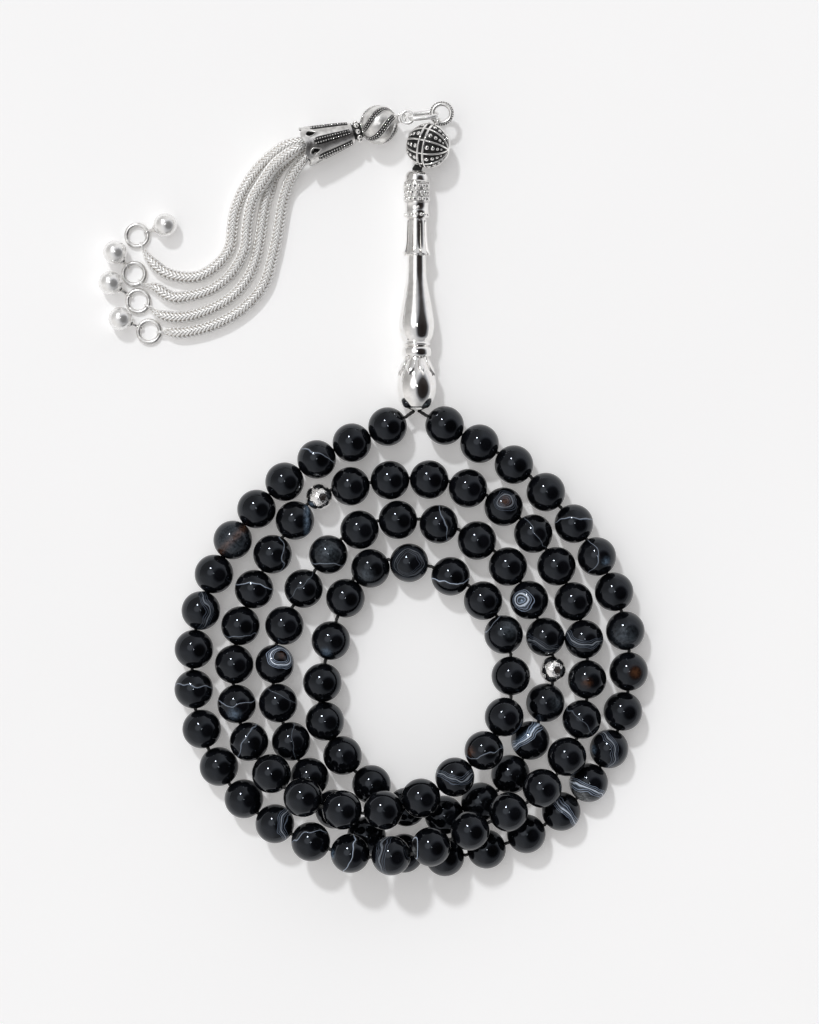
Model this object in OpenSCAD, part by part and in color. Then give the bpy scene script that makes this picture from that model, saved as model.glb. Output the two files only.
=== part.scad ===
// Misbaha: 99 prayer beads on one closed cord, with a silver imame and a tassel of four chains.
// It lies on a flat surface, Z up, with the imame pointing along +Y.

/* [Beads] */
// Diameter of a prayer bead
bead_d = 7.65; // [7.5:0.05:7.65]
// Diameter of the hole through a bead
bead_bore = 1.2; // [1.1:0.05:1.6]
// Diameter of the cord through the beads
cord_d = 0.8; // [0.5:0.05:0.8]
// Diameter of the two silver marker beads
marker_d = 5.4; // [5:0.1:5.4]

/* [Imame] */
// Diameter of the hole that the doubled cord runs through
imame_bore = 2.2; // [2:0.1:2.6]

/* [Ball] */
// Diameter of the silver ball at the end of the doubled cord
ball_d = 9; // [8.8:0.1:9]
// Thickness of the ball's wall
ball_wall = 1; // [0.8:0.1:1.4]

/* [Tassel] */
// Diameter of the banded ball on top of the cap
melon_d = 7.8; // [7.4:0.1:7.8]
// Wall thickness of the bell-shaped cap
bell_wall = 0.45; // [0.4:0.05:0.5]
// Diameter of a foxtail chain
chain_d = 2.6; // [2.4:0.05:2.65]
// Diameter of a polished drop
drop_d = 4.8; // [4.4:0.1:4.8]

/* [Hidden] */
$fn = 48;
BEADS = 33;
bead_r = bead_d / 2;
marker_r = marker_d / 2;
clear = 0.1;

single_beads = [for (i = [1:BEADS]) str("bead_", i < 10 ? "0" : "", i)];
chains = [for (i = [1:4]) str("chain_", i)];
end_rings = [for (i = [1:4]) str("end_ring_", i)];
drops = [for (i = [1:4]) str("drop_", i)];

// Places along the strand: X, Y and how high the bead's underside is off the table, for every second bead.
first_third = [
    [-4.5, 12, 0], [-19, 6, 0], [-31, -4, 0], [-39.5, -17, 0], [-43.5, -32, 0], [-42, -48, 0],
    [-33.5, -62, 0], [-20, -70, 4.5], [-4, -72.5, 8.5], [11.5, -67.5, 6.5], [26, -59.5, 5],
    [34, -46, 1.5], [34.5, -30, 0], [29, -15.5, 0], [18.5, -3.5, 0], [3.5, 2, 0], [-12, 0.5, 0]];
marker_1 = [-18.5, -1.5, 0];
second_third = [
    [-23.5, -6.5, 0], [-31.5, -20, 0], [-35.5, -35, 0], [-32.5, -50.5, 0], [-21.5, -61, 8], [-5.5, -63.5, 8],
    [8.5, -57, 6], [18.5, -45.5, 4], [18.5, -29, 0], [8, -17.5, 0], [-8.5, -15.5, 0], [-16, -30.5, 0],
    [-17.5, -46.5, 0], [-8, -59, 0], [6.5, -65.5, 0], [20, -57, 0], [26.5, -43, 0]];
marker_2 = [28.5, -36, 0];
last_third = [
    [26.5, -29.5, 0], [19.5, -15.5, 0], [5.5, -7, 0], [-10.5, -8, 0], [-21.5, -20, 0], [-27.5, -35, 0],
    [-24, -50.5, 0], [-15.5, -64, 0], [-1.5, -73, 0], [15, -72, 0], [30, -64.5, 0], [39.5, -52, 0],
    [43.5, -36.5, 0], [40.5, -20.5, 0], [32.5, -7, 0], [20.5, 5, 0], [6.5, 12.5, 0]];

// The imame lies along +Y on its widest bulb.
imame_r = 4;
imame_foot = [1, 15.8, imame_r];
imame_len = 47.8;
imame_top = imame_foot + [0, imame_len, 0];
foot_gap = 0.15;
strand_apart = 0.9;
cord_foot = imame_foot - [0, foot_gap, 0];

// The ball stands just past the imame's top, and the links lead from it to the cap.
ball_r = ball_d / 2;
ball_at = [3.3, 68.6, 4.5];
neck_way = unit(ball_at - imame_top);
ball_hole = 3;
eye_r = 0.85;
eye_wire = 0.5;
ring_way = 67;
ball_ring_r = 1.95;
ball_ring_wire = 0.9;
ball_eye_at = ball_at + (ball_r + 0.55) * heading(ring_way);
ball_ring_at = ball_eye_at + ball_ring_r * heading(ring_way);
link_way = 186;
link_wire = 0.7;
link_half_len = 2.7;
link_half_w = 1;
link_lean = 30;
ring_lap = 0.9;
link_at = ball_ring_at + (ball_ring_r - ring_lap + link_half_len) * heading(link_way);
jump_ring_r = 1.2;
jump_ring_wire = 0.6;
jump_ring_lap = 0.73;
jump_ring_at = link_at + (link_half_len - jump_ring_lap + jump_ring_r) * heading(link_way);

// The cap's parts share one axis, measured from the middle of the banded ball towards the mouth.
cap_way = 196.7;
cap_eye_at = jump_ring_at + jump_ring_r * heading(link_way);
cap_eye_reach = 4.7;
melon_r = melon_d / 2;
cap_at = [cap_eye_at.x, cap_eye_at.y, 4] - cap_eye_reach * heading(cap_way + 180);
melon_end = 3.6;
bell_start = 5.4;
bell_len = 10.2;
bell_top_r = 2;
bell_mouth_r = 4;
bell_top = 0.8;
hanger_end = 13.6;

// Each chain's route: X, Y and the height of its middle.
chain_routes = [
    [[-20.5, 69.5, 4], [-22.5, 69.5, 4], [-25.5, 68.5, 3.2], [-28.5, 66.5, 2.2], [-31.5, 63.5, 1.4],
     [-34, 59.5, 1.4], [-35.5, 55.5, 1.4], [-36, 52, 1.4], [-36.5, 48.5, 1.4], [-38.5, 45.5, 1.4],
     [-42, 43, 1.4], [-45.5, 42.5, 1.4], [-49.5, 43.5, 1.4], [-52.5, 46, 1.4], [-54, 48.5, 0.6]],
    [[-20.5, 68.5, 4.8], [-22.5, 68, 5.9], [-25, 66.5, 5.4], [-27.5, 64.5, 4.6], [-30, 61, 3.7],
     [-32, 57.5, 3], [-33, 52.5, 2.6], [-33.5, 48, 2.5], [-36, 43.5, 1.8], [-39.5, 40.5, 1.4],
     [-43.5, 39, 1.4], [-48, 38.5, 1.4], [-51.5, 40.5, 1.4], [-54, 41, 0.6]],
    [[-20.5, 68.5, 3.2], [-22, 68, 2], [-25, 66, 1.5], [-27.5, 63, 1.4], [-28.5, 60, 1.4],
     [-29.5, 56.5, 1.4], [-30.5, 50, 1.4], [-31.5, 45.5, 1.4], [-33.5, 41.5, 1.4], [-37, 38, 1.4],
     [-42, 35.5, 1.4], [-46.5, 34.5, 1.4], [-50.5, 35, 1.4], [-52.5, 36.5, 0.6]],
    [[-20, 68, 4], [-21.5, 66, 4], [-23.5, 63.5, 2.8], [-25, 60.5, 1.6], [-26, 57, 1.4],
     [-27, 51, 1.4], [-28, 46.5, 1.4], [-29.5, 41.5, 1.4], [-32.5, 37.5, 1.4], [-36.5, 34.5, 1.4],
     [-41, 32.5, 1.4], [-45.5, 31.5, 1.4], [-48.5, 31.5, 1.2], [-50, 31.5, 0.6]]];
end_ring_r = 2.175;
end_ring_wire = 0.95;
end_ring_at = [[-55.2, 51, 0], [-55.8, 43.3, 0], [-55, 37.8, 0], [-52.8, 31.7, 0]];
drop_at = [[-49.4, 53, 0], [-59.5, 47.5, 0], [-60.4, 41.4, 0], [-58.4, 34.2, 0]];
drop_eye_r = 0.75;
drop_eye_wire = 0.4;
drop_neck_r = 0.45;

function heading(angle) = [cos(angle), sin(angle), 0];
function unit(v) = v / norm(v);
function flat(v) = [v.x, v.y, 0];

// A smooth curve through a list of points, at a place counted in points.
function past(points, i) =
    i < 0 ? 2 * points[0] - points[1]
    : i >= len(points) ? 2 * points[len(points) - 1] - points[len(points) - 2]
    : points[i];
function between(a, b, c, d, t) =
    b + t / 2 * (c - a + t * (2 * a - 5 * b + 4 * c - d + t * (3 * b - a - 3 * c + d)));
function smooth(points, place) =
    let (i = min(floor(place), len(points) - 2))
    between(past(points, i - 1), points[i], points[i + 1], past(points, i + 2), place - i);
function smoothed(points, steps) =
    [for (i = [0:(len(points) - 1) * steps]) smooth(points, i / steps)];

// Middles of the beads in order, with a marker after each of the first two thirds.
function lifted(p) = [p.x, p.y, bead_r + max(p.z, 0)];
function bead_line(third) = [for (i = [0:BEADS - 1]) lifted(smooth(third, i / 2))];
strung = concat(
    bead_line(first_third), [lifted(marker_1)],
    bead_line(second_third), [lifted(marker_2)],
    bead_line(last_third));
MARKER_1 = BEADS;
MARKER_2 = 2 * BEADS + 1;
function strung_r(i) = i == MARKER_1 || i == MARKER_2 ? marker_r : bead_r;

// The cord bends only between beads, at knots: knots[i] is before strung[i] and knots[i + 1] after it.
foot_left = cord_foot - [strand_apart / 2, 0, 0];
foot_right = cord_foot + [strand_apart / 2, 0, 0];
function end_knot(bead, foot) = bead + (bead_r + clear) * unit(foot - bead);
function knot(i) =
    let (a = strung[i - 1], b = strung[i], r = strung_r(i - 1))
    a + (b - a) * r / (r + strung_r(i)) + flat(a + b - past(strung, i - 2) - past(strung, i + 1)) / 8;
LAST = len(strung) - 1;
knots = concat([end_knot(strung[0], foot_left)], [for (i = [1:LAST]) knot(i)],
    [end_knot(strung[LAST], foot_right)]);
function strung_at(i) = (knots[i] + knots[i + 1]) / 2;
function strung_way(i) = unit(knots[i + 1] - knots[i]);

// Puts a child's Z axis along a direction.
module aim(way) rotate([0, acos(way.z), atan2(way.y, way.x)]) children();
module lying(at, angle) translate(at) rotate([0, 90, angle]) children();
module torus(r, wire) rotate_extrude() translate([r, 0]) circle(d = wire);

// A tube along a path, with its own radius at each point.
module swept(path, radii, sides = 8) {
    last = len(path) - 1;
    function way(i) = unit(path[min(i + 1, last)] - path[max(i - 1, 0)]);
    function side(i) = unit(cross(way(i), [0, 0, 1]));
    function ring(i) = [for (k = [0:sides - 1]) let (a = 360 * k / sides)
        path[i] + radii[i] * (cos(a) * side(i) + sin(a) * cross(side(i), way(i)))];
    points = [for (i = [0:last]) each ring(i)];
    walls = [for (i = [0:last - 1], k = [0:sides - 1]) let (a = i * sides + k, b = i * sides + (k + 1) % sides)
        each [[a, b, b + sides], [a, b + sides, a + sides]]];
    ends = [[for (k = [sides - 1:-1:0]) k], [for (k = [0:sides - 1]) last * sides + k]];
    polyhedron(points, concat(walls, ends));
}

module strand_cord() color("black") {
    path = concat([foot_left], knots, [foot_right]);
    swept(path, [for (p = path) cord_d / 2]);
}

// One piece on the cord, a stone bead or a silver marker.
module bead(i, tint = "#151515") color(tint) translate(strung_at(i)) aim(strung_way(i))
    difference() {
        sphere(r = strung_r(i));
        cylinder(d = bead_bore, h = 3 * bead_r, center = true);
    }

module bead_third(first) for (i = [first:first + BEADS - 1]) bead(i);

// The two strands run side by side through the imame, and end in a knot inside the ball.
module imame_cord() color("black") {
    neck_r = 0.85;
    knot_r = 1.4;
    for (x = [-strand_apart / 2, strand_apart / 2])
        translate(imame_foot + [x, 2 * clear, 0]) rotate([-90, 0, 0])
            cylinder(d = cord_d, h = imame_len);
    translate(imame_top) sphere(r = neck_r);
    translate(imame_top) aim(neck_way) cylinder(r = neck_r, h = norm(ball_at - imame_top));
    translate(ball_at) sphere(r = knot_r);
}

// Half outline of the imame as radius and height above its foot.
imame_bulb = [[1.5, 0], [2.8, 0.8], [3.7, 2.7], [4, 5], [3.5, 7.4], [2.5, 9.4], [2.2, 10.4]];
imame_belly = [[2.3, 12.6], [3.2, 14.2], [3.56, 16.4], [3.25, 19.5], [2.55, 23], [1.95, 27], [1.9, 30.8]];
imame_head = [
    [2.77, 30.8], [2.4, 32.4], [2.1, 36], [2.05, 38.2], [2.45, 38.2], [2.45, 39.6], [2.35, 39.6],
    [2.35, 41.3], [2.65, 41.3], [2.65, 45.4], [2.25, 45.4], [2.25, 46.6], [1.5, imame_len]];
module imame() color("silver") translate(imame_foot) rotate([-90, 0, 0])
    rotate_extrude() {
        polygon(concat([[imame_bore / 2, 0]], smoothed(imame_bulb, 4), smoothed(imame_belly, 4),
            imame_head, [[imame_bore / 2, imame_len]]));
        translate([1.9, 11.5]) circle(r = 1.1 - 0.02);
    }

module knob_ball() color("silver") {
    difference() {
        union() {
            translate(ball_at) sphere(r = ball_r);
            translate(ball_eye_at) rotate([90, 0, ring_way]) torus(eye_r, eye_wire);
        }
        translate(ball_at) sphere(r = ball_r - ball_wall);
        translate(ball_at) aim(-neck_way) cylinder(d = ball_hole, h = 2 * ball_r);
    }
}

module ball_ring() color("silver") translate(ball_ring_at) torus(ball_ring_r, ball_ring_wire);

// Two straight sides and two half rings, leaning over by link_lean.
module oval_link() color("silver") translate(link_at) rotate([0, 0, link_way]) rotate([90 - link_lean, 0, 0]) {
    straight = link_half_len - link_half_w;
    for (end = [0, 180]) rotate([0, 0, end]) translate([straight, 0, 0]) rotate([0, 0, -90])
        rotate_extrude(angle = 180) translate([link_half_w, 0]) circle(d = link_wire);
    for (y = [-link_half_w, link_half_w]) translate([0, y, 0]) rotate([0, 90, 0])
        cylinder(d = link_wire, h = 2 * straight, center = true);
}

module cap_jump_ring() color("silver") translate(jump_ring_at) torus(jump_ring_r, jump_ring_wire);

module cap_melon() color("silver") {
    translate(cap_eye_at) rotate([90, 0, cap_way]) torus(eye_r, eye_wire);
    lying(cap_at, cap_way) intersection() {
        sphere(r = melon_r);
        translate([0, 0, melon_end - melon_d]) cylinder(r = melon_r + 1, h = melon_d);
    }
}

module cap_collar() color("silver") {
    granules = 9;
    granule_r = 0.5;
    core_r = 1.5;
    lying(cap_at, cap_way) {
        translate([0, 0, melon_end]) cylinder(r = core_r, h = bell_start - melon_end);
        for (i = [1:granules]) rotate([0, 0, 360 * i / granules])
            translate([core_r + 0.3, 0, (melon_end + bell_start) / 2]) sphere(r = granule_r);
    }
}

function bell_r(t) = bell_top_r + (bell_mouth_r - bell_top_r) * pow(t, 0.8);
module cap_bell() color("silver") lying(cap_at, cap_way) {
    steps = 10;
    leaf_holes = 6;
    leaf_hole_d = 1.1;
    leaf_hole_up = 1.6;
    outer = [for (i = [0:steps]) [bell_r(i / steps), bell_start + bell_len * i / steps]];
    inner = [for (i = [steps:-1:1]) [bell_r(i / steps) - bell_wall, bell_start + bell_len * i / steps]];
    difference() {
        rotate_extrude() polygon(concat([[0, bell_start]], outer, inner, [[0, bell_start + bell_top]]));
        for (i = [1:leaf_holes]) rotate([0, 0, 360 * i / leaf_holes])
            translate([bell_top_r, 0, bell_start + bell_len - leaf_hole_up]) rotate([0, 90, 0])
                cylinder(d = leaf_hole_d, h = bell_mouth_r);
    }
}

// A post with a ball end inside the bell, which the four chains gather round.
module cap_hanger() color("silver") lying(cap_at, cap_way) {
    post_start = bell_start + bell_top + 0.05;
    post_r = 0.35;
    plate_r = 1.4;
    plate_start = bell_start + 1.3 * bell_top;
    translate([0, 0, post_start]) cylinder(r = post_r, h = hanger_end - post_start);
    translate([0, 0, hanger_end]) sphere(r = 0.6);
    translate([0, 0, plate_start]) cylinder(r = plate_r, h = post_r);
}

// A chain is thin where it starts inside the bell and where its last link holds the end ring.
module chain(i) color("lightgray") {
    path = chain_routes[i];
    last = len(path) - 1;
    swept(path, [for (k = [0:last]) k == 0 ? 0.35 : k == 1 ? 1 : k == last ? 0.4 : chain_d / 2]);
}

module end_ring(i) color("silver") translate(end_ring_at[i] + [0, 0, end_ring_wire / 2])
    torus(end_ring_r, end_ring_wire);

// A drop's eye holds the ring's wire, and its ball rests on the table.
function drop_way(i) = unit(drop_at[i] - end_ring_at[i]);
function drop_eye_at(i) = end_ring_at[i] + end_ring_r * drop_way(i) + [0, 0, end_ring_wire / 2];
module drop(i) color("silver") {
    ball = drop_at[i] + [0, 0, drop_d / 2];
    eye = drop_eye_at(i);
    translate(ball) sphere(d = drop_d);
    translate(eye) aim(cross(drop_way(i), [0, 0, 1])) torus(drop_eye_r, drop_eye_wire);
    translate(eye + drop_eye_r * unit(ball - eye)) aim(unit(ball - eye))
        cylinder(r = drop_neck_r, h = norm(ball - eye) - drop_d / 2);
}

strand_cord();
bead_third(BEADS + 1);  // beads_second_third
bead_third(2 * BEADS + 2);  // beads_last_third
bead(MARKER_1, "silver");  // marker_bead_1
bead(MARKER_2, "silver");  // marker_bead_2
imame_cord();
imame();
knob_ball();
ball_ring();
oval_link();
cap_jump_ring();
cap_melon();
cap_collar();
cap_bell();
cap_hanger();
for (i = [0:BEADS - 1]) bead(i);
for (i = [0:3]) chain(i);
for (i = [0:3]) end_ring(i);
for (i = [0:3]) drop(i);
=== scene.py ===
# %% [markdown]
# # A string of 99 prayer beads
# This lesson builds a misbaha: black agate beads on one closed cord, a silver imame that
# the cord's two ends run through, and a tassel of four woven chains hung from a bell cap.
# The engineering model is loaded first, and every piece here is fitted to it and rides on
# one of its bodies, so that the whole thing still moves.

# %% Load the frame
import math
import bmesh
import bpy
import numpy as np
from mathutils import Matrix, Vector


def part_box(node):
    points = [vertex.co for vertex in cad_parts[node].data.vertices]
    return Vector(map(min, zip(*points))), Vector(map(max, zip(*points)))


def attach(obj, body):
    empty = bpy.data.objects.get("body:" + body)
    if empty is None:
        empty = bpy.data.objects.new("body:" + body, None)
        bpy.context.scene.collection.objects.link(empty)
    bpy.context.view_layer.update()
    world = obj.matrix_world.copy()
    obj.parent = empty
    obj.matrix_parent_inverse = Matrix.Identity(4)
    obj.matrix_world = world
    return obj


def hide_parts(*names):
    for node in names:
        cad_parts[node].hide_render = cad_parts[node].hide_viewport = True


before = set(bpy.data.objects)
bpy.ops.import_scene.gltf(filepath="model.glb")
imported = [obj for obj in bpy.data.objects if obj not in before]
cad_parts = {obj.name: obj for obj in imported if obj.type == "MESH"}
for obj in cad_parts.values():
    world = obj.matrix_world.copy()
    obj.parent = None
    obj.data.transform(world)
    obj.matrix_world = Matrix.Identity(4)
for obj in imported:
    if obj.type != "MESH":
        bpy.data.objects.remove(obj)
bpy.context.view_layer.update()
MM = 0.001

# %% [markdown]
# ## Camera
# The beads lie on a table and are looked at from straight above. A long lens far away keeps
# the outer beads round, where a short lens close by would show their sides.

# %% Place the camera
LENS = 100
SENSOR = 36
VIEW_HEIGHT = 204.8 * MM
VIEW_MIDDLE = Vector((-0.4, -4.6, 4)) * MM

bpy.ops.object.select_all(action="DESELECT")
camera_far = VIEW_HEIGHT * LENS / SENSOR
bpy.ops.object.camera_add(location=VIEW_MIDDLE + Vector((0, 0, camera_far)), rotation=(0, 0, 0))
camera = bpy.context.object
camera.data.lens = LENS
camera.data.sensor_width = SENSOR
camera.data.clip_start = 10 * MM
bpy.context.scene.camera = camera
print("camera height in mm:", round(camera.location.z / MM))

# %% [markdown]
# ## Helpers for modelling
# An operator works on whatever is selected, so each helper first clears the selection and
# takes only its own piece. Points are picked in code by where they are, because there is
# no mouse here to pick them with.

# %% Select, pick, apply and settle
def take(*pieces):
    if bpy.context.object and bpy.context.object.mode == "EDIT":
        bpy.ops.object.mode_set(mode="OBJECT")
    bpy.ops.object.select_all(action="DESELECT")
    for piece in pieces:
        piece.select_set(True)
    bpy.context.view_layer.objects.active = pieces[0]


def added(name, finish):
    piece = bpy.context.object
    piece.name = piece.data.name = name
    piece.data.materials.append(finish)
    return piece


def sphere(name, radius, finish, segments, rings):
    bpy.ops.object.select_all(action="DESELECT")
    bpy.ops.mesh.primitive_uv_sphere_add(segments=segments, ring_count=rings, radius=radius * MM)
    return added(name, finish)


def edit(piece):
    take(piece)
    bpy.ops.object.mode_set(mode="EDIT")
    bpy.ops.mesh.select_mode(type="VERT")


def pick(piece, test):
    bpy.ops.mesh.select_all(action="DESELECT")
    mesh = bmesh.from_edit_mesh(piece.data)
    for point in mesh.verts:
        point.select_set(bool(test(point.co)))
    mesh.select_flush(True)
    bmesh.update_edit_mesh(piece.data)


def leave_edit():
    bpy.ops.object.mode_set(mode="OBJECT")


def settle(piece, place=Matrix()):
    piece.matrix_basis = place @ piece.matrix_basis
    take(piece)
    bpy.ops.object.transform_apply(location=True, rotation=True, scale=True)
    return piece


def applied(piece, kind, **settings):
    take(piece)
    modifier = piece.modifiers.new(kind, kind)
    for key, value in settings.items():
        setattr(modifier, key, value)
    bpy.ops.object.modifier_apply(modifier=modifier.name)
    return piece


def smooth_shaded(piece, sharp=None):
    take(piece)
    if sharp is None:
        bpy.ops.object.shade_smooth()
    else:
        bpy.ops.object.shade_smooth_by_angle(angle=math.radians(sharp))
    return piece


def thick_curve(name, radius, resolution, capped=True):
    curve = bpy.data.curves.new(name, "CURVE")
    curve.dimensions = "3D"
    curve.bevel_depth = radius * MM
    curve.bevel_resolution = resolution
    curve.use_fill_caps = capped
    return curve


def mesh_from(name, curve, finish):
    wires = bpy.data.objects.new(name, curve)
    bpy.context.collection.objects.link(wires)
    take(wires)
    bpy.ops.object.convert(target="MESH")
    piece = bpy.context.object
    piece.name = piece.data.name = name
    piece.data.materials.clear()
    piece.data.materials.append(finish)
    return smooth_shaded(piece)


def joined(name, pieces):
    take(*pieces)
    if len(pieces) > 1:
        bpy.ops.object.join()
    made = bpy.context.object
    made.name = made.data.name = name
    return settle(made)


def repeated(name, master, places):
    copies = []
    for place in places:
        copy = master.copy()
        copy.data = master.data.copy()
        bpy.context.collection.objects.link(copy)
        copy.matrix_basis = place @ master.matrix_basis
        copies.append(copy)
    bpy.data.objects.remove(master)
    return joined(name, copies)


# %% Directions and places
def heading(degrees):
    return Vector((math.cos(math.radians(degrees)), math.sin(math.radians(degrees)), 0))


def along(way, at=Vector()):
    """A place whose Z axis points along a direction."""
    return Matrix.Translation(at) @ way.to_track_quat("Z", "Y").to_matrix().to_4x4()


def around(degrees, axis="Z"):
    return Matrix.Rotation(math.radians(degrees), 4, axis)


def middle(node):
    low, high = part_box(node)
    return (low + high) / 2


# %% [markdown]
# A turned piece is made as on a lathe: one ring of points, extruded upwards again and
# again, and scaled after each step to the outline's next radius. Spinning a drawn outline
# would do the same, but rings can be pinched into flutes and scallops afterwards.

# %% Turn an outline, ring by ring
def turned(name, outline, finish, sides=64):
    """outline is a list of radius and height pairs in mm."""
    radius, height = outline[0]
    bpy.ops.object.select_all(action="DESELECT")
    bpy.ops.mesh.primitive_circle_add(vertices=sides, radius=radius * MM, location=(0, 0, height * MM))
    piece = settle(added(name, finish))
    edit(piece)
    bpy.ops.mesh.select_all(action="SELECT")
    for (r0, z0), (r1, z1) in zip(outline, outline[1:]):
        bpy.ops.mesh.extrude_region_move(TRANSFORM_OT_translate={"value": (0, 0, (z1 - z0) * MM)})
        bpy.ops.transform.resize(value=(r1 / r0, r1 / r0, 1), center_override=(0, 0, z1 * MM))
    bpy.ops.mesh.select_all(action="SELECT")
    bpy.ops.mesh.remove_doubles(threshold=0.0005 * MM)
    bpy.ops.mesh.normals_make_consistent(inside=False)
    leave_edit()
    return smooth_shaded(piece, 35)


def curve_through(points, place):
    """A smooth curve through a list of points, at a place counted in points."""
    last = len(points) - 1
    i = min(int(place), last - 1)
    t = place - i
    b, c = points[i], points[i + 1]
    a = points[i - 1] if i > 0 else 2 * b - c
    d = points[i + 2] if i + 2 <= last else 2 * c - b
    return b + t / 2 * (c - a + t * (2 * a - 5 * b + 4 * c - d + t * (3 * b - a - 3 * c + d)))


def rounded(outline, steps=5):
    """The same outline with smooth curves between its points."""
    points = [Vector(p) for p in outline]
    count = (len(points) - 1) * steps
    return [tuple(curve_through(points, i / steps)) for i in range(count + 1)]


# %% [markdown]
# ## Finishes
# Real silver jewellery is polished where fingers reach and left black in its recesses, so
# raised parts get bright finishes and the ground beneath them a dark one. Noise on the
# object's own coordinates varies the gloss a little, as wiping and wear do.

# %% A helper for shader nodes
def finish_named(name):
    finish = bpy.data.materials.new(name)
    finish.use_nodes = True
    nodes, links = finish.node_tree.nodes, finish.node_tree.links
    return finish, nodes, links, nodes["Principled BSDF"]


def noise(nodes, links, source, scale, detail=3.0):
    texture = nodes.new("ShaderNodeTexNoise")
    texture.inputs["Scale"].default_value = scale
    texture.inputs["Detail"].default_value = detail
    links.new(source, texture.inputs["Vector"])
    return texture.outputs["Fac"]


def ramp(nodes, links, source, stops):
    colours = nodes.new("ShaderNodeValToRGB")
    elements = colours.color_ramp.elements
    while len(elements) < len(stops):
        elements.new(0.5)
    for element, (place, colour) in zip(elements, stops):
        element.position = place
        element.color = (*colour, 1) if hasattr(colour, "__len__") else (colour, colour, colour, 1)
    links.new(source, colours.inputs["Fac"])
    return colours.outputs["Color"]


def calculated(nodes, links, operation, a, b):
    step = nodes.new("ShaderNodeMath")
    step.operation = operation
    for socket, value in zip(step.inputs, (a, b)):
        if isinstance(value, (int, float)):
            socket.default_value = value
        else:
            links.new(value, socket)
    return step.outputs[0]


def mixed(nodes, links, kind, amount, a, b):
    mix = nodes.new("ShaderNodeMix")
    mix.data_type = "RGBA"
    mix.blend_type = kind
    for socket, value in ((0, amount), (6, a), (7, b)):
        if isinstance(value, (int, float)):
            mix.inputs[socket].default_value = value
        else:
            links.new(value, mix.inputs[socket])
    return mix.outputs[2]


def bumped(nodes, links, shader, height, strength, distance):
    bump = nodes.new("ShaderNodeBump")
    bump.inputs["Strength"].default_value = strength
    bump.inputs["Distance"].default_value = distance
    links.new(height, bump.inputs["Height"])
    links.new(bump.outputs["Normal"], shader.inputs["Normal"])


# %% Silver, blackened silver, chain silver and cord
def metal(name, dark, bright, smooth, rough, metallic=1.0, dents=0.02):
    finish, nodes, links, shader = finish_named(name)
    place = nodes.new("ShaderNodeTexCoord").outputs["Object"]
    cloud = noise(nodes, links, place, 900)
    grain = noise(nodes, links, place, 6000, 5)
    links.new(ramp(nodes, links, cloud, [(0.3, dark), (0.62, bright)]), shader.inputs["Base Color"])
    links.new(ramp(nodes, links, grain, [(0.3, smooth), (0.75, rough)]), shader.inputs["Roughness"])
    shader.inputs["Metallic"].default_value = metallic
    bumped(nodes, links, shader, grain, 0.35, dents * MM)
    return finish


polished_silver = metal("polished_silver", (0.86, 0.85, 0.835), (0.95, 0.94, 0.925), 0.05, 0.13, dents=0.006)
worn_silver = metal("worn_silver", (0.55, 0.54, 0.53), (0.86, 0.85, 0.83), 0.27, 0.42, dents=0.03)
black_silver = metal("black_silver", (0.006, 0.006, 0.007), (0.03, 0.029, 0.028), 0.35, 0.6, 0.6, 0.03)
bright_silver = metal("bright_silver", (0.90, 0.89, 0.875), (0.97, 0.965, 0.955), 0.16, 0.28, 0.7,
                      dents=0.008)
chain_silver = metal("chain_silver", (0.90, 0.885, 0.865), (0.97, 0.965, 0.95), 0.26, 0.38, 0.4, dents=0.01)
chain_shade = metal("chain_shade", (0.55, 0.48, 0.41), (0.74, 0.68, 0.61), 0.4, 0.55, 0.2)


def thread(name):
    finish, nodes, links, shader = finish_named(name)
    place = nodes.new("ShaderNodeTexCoord").outputs["Object"]
    fibre = noise(nodes, links, place, 5200, 6)
    colour = ramp(nodes, links, fibre, [(0.3, 0.004), (0.7, (0.022, 0.021, 0.02))])
    links.new(colour, shader.inputs["Base Color"])
    links.new(ramp(nodes, links, fibre, [(0.3, 0.38), (0.7, 0.7)]), shader.inputs["Roughness"])
    shader.inputs["Sheen Weight"].default_value = 0.15
    bumped(nodes, links, shader, fibre, 0.6, 0.05 * MM)
    return finish


black_thread = thread("black_thread")
print("finishes:", len(bpy.data.materials))

# %% [markdown]
# Black banded agate is almost opaque glass. Pale bands lie in it like the rings of an onion,
# so where a band meets the polished surface depends on how the bead was cut. Each bead
# carries its own band distance as a number on its points, and the finish turns that number
# into stripes. Noise bends the stripes so that no two beads match.

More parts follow.
